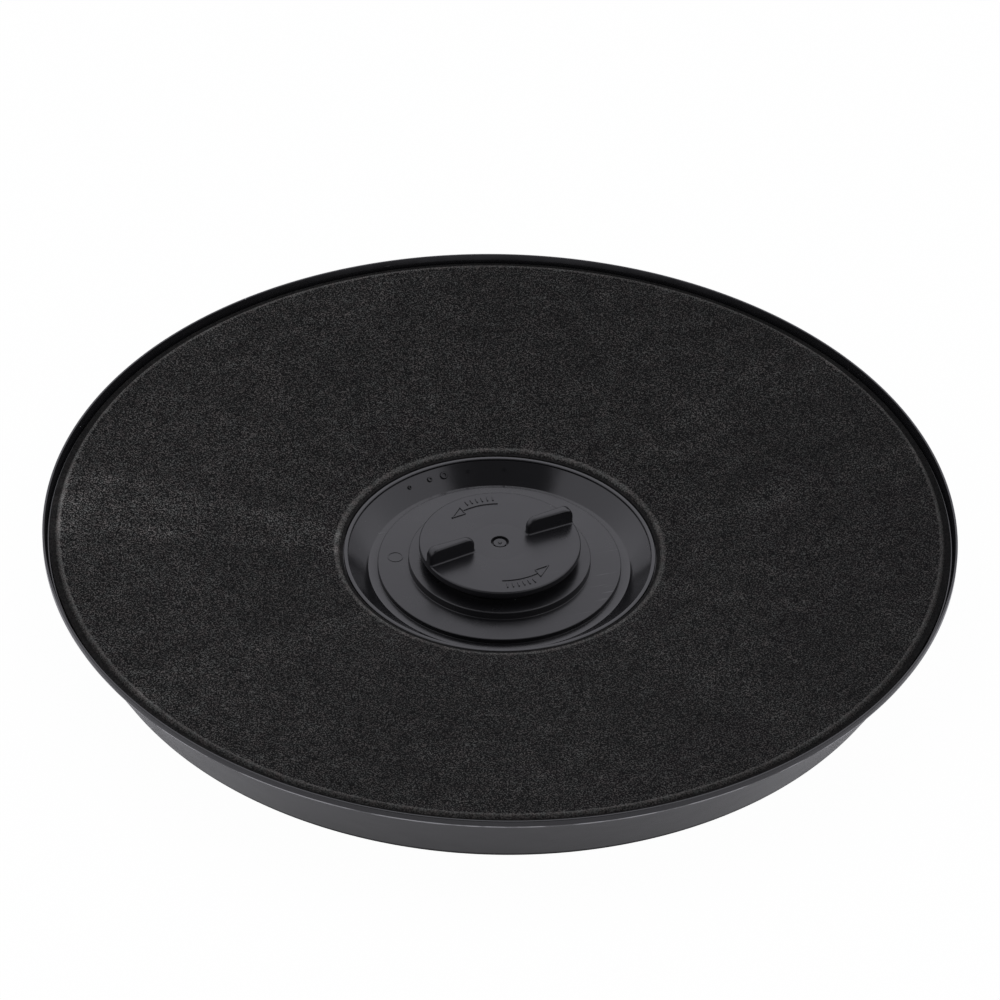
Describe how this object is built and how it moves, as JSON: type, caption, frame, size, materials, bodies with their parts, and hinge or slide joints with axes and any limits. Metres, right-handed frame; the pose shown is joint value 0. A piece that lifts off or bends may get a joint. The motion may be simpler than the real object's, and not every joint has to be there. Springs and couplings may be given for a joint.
{
  "type": "cooker hood carbon filter",
  "caption": "Round, shallow black plastic casing with a dished felt face over carbon beds, a slotted back grille and a quarter-turn grip with bayonet lugs in a stepped well.",
  "frame": {"origin": "middle of the base plane, on the filter's axis", "axes": "+Z along the filter's axis, out of the felt face; +X and +Y as seen from the grip's side, with the wings of the grip 28.5 degrees counter-clockwise from +X"},
  "size_m": [0.265, 0.265, 0.023],
  "materials": {
    "casing_plastic": "black moulded plastic, glossy outside and satin in the well, with light scuffs",
    "felt": "charcoal needled fleece with fine pale fibres",
    "grip_plastic": "black moulded plastic, satin",
    "carbon": "matt black pellets"
  },
  "bodies": {
    "filter": {"casing": "casing_plastic", "felt_cover": "felt", "carbon_charge_1": "carbon", "carbon_charge_2": "carbon", "carbon_charge_3": "carbon", "carbon_charge_4": "carbon", "carbon_charge_5": "carbon", "carbon_charge_6": "carbon", "carbon_charge_7": "carbon"},
    "grip": {"turn_grip": "grip_plastic"}
  },
  "joints": [
    {"name": "grip_turn", "type": "hinge", "parent": "filter", "child": "grip", "pos_m": [0, 0, 0.0082], "axis": [0, 0, 1], "range_deg": [0, 90]}
  ]
}
